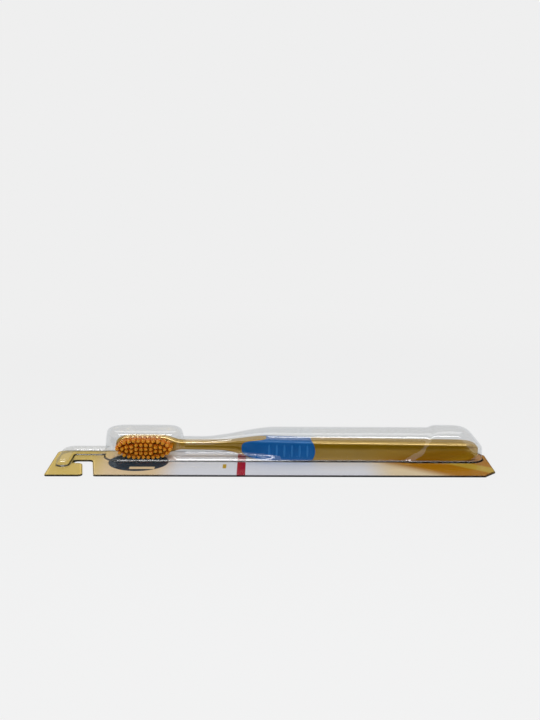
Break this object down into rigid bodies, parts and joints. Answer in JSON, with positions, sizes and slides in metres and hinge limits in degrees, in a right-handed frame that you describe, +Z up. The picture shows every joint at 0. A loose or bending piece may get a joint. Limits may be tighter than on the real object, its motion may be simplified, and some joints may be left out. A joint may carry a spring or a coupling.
{
  "type": "manual toothbrush in blister pack",
  "caption": "Manual toothbrush with tapered bristle tufts and an overmoulded soft grip, lying on its side in a clear thermoformed blister on a long backing card with a side-entry hang slot.",
  "frame": {"origin": "under the middle of the backing card, on the surface that the pack lies on", "axes": "+X along the pack towards the handle end, +Y towards the card's back edge with the bristles pointing to -Y, +Z up from the card through the blister"},
  "size_m": [0.2212, 0.038, 0.0174],
  "materials": {
    "card": "coated printed board",
    "clear_film": "clear thermoformed film",
    "gold_plastic": "satin gold moulding",
    "blue_rubber": "soft satin elastomer",
    "bristle": "amber nylon bristles",
    "brass": "plain strip"
  },
  "bodies": {
    "card": {"backing_card": "card"},
    "blister": {"blister": "clear_film"},
    "brush": {"handle": "gold_plastic", "grip": "blue_rubber", "tuft_anchors": "brass", "tuft_01": "bristle", "tuft_02": "bristle", "tuft_03": "bristle", "tuft_04": "bristle", "tuft_05": "bristle", "tuft_06": "bristle", "tuft_07": "bristle", "tuft_08": "bristle", "tuft_09": "bristle", "tuft_10": "bristle", "tuft_11": "bristle", "tuft_12": "bristle", "tuft_13": "bristle", "tuft_14": "bristle", "tuft_15": "bristle", "tuft_16": "bristle", "tuft_17": "bristle", "tuft_18": "bristle", "tuft_19": "bristle", "tuft_20": "bristle", "tuft_21": "bristle", "tuft_22": "bristle", "tuft_23": "bristle", "tuft_24": "bristle", "tuft_25": "bristle", "tuft_26": "bristle", "tuft_27": "bristle", "tuft_28": "bristle", "tuft_29": "bristle", "tuft_30": "bristle", "tuft_31": "bristle", "tuft_32": "bristle", "tuft_33": "bristle", "tuft_34": "bristle", "tuft_35": "bristle", "tuft_36": "bristle", "tuft_37": "bristle", "tuft_38": "bristle", "tuft_39": "bristle", "tuft_40": "bristle", "tuft_41": "bristle", "tuft_42": "bristle", "tuft_43": "bristle", "tuft_44": "bristle", "tuft_45": "bristle", "tuft_46": "bristle"}
  },
  "joints": [
    {"name": "blister_lift", "type": "slide", "parent": "card", "child": "blister", "axis": [0, 0, 1], "range_m": [0, 0.075]},
    {"name": "brush_lift", "type": "slide", "parent": "card", "child": "brush", "axis": [0, 0, 1], "range_m": [0, 0.03]}
  ],
  "couplings": [
    {"joint": "brush_lift", "follows": "blister_lift", "ratio": 0.4}
  ]
}
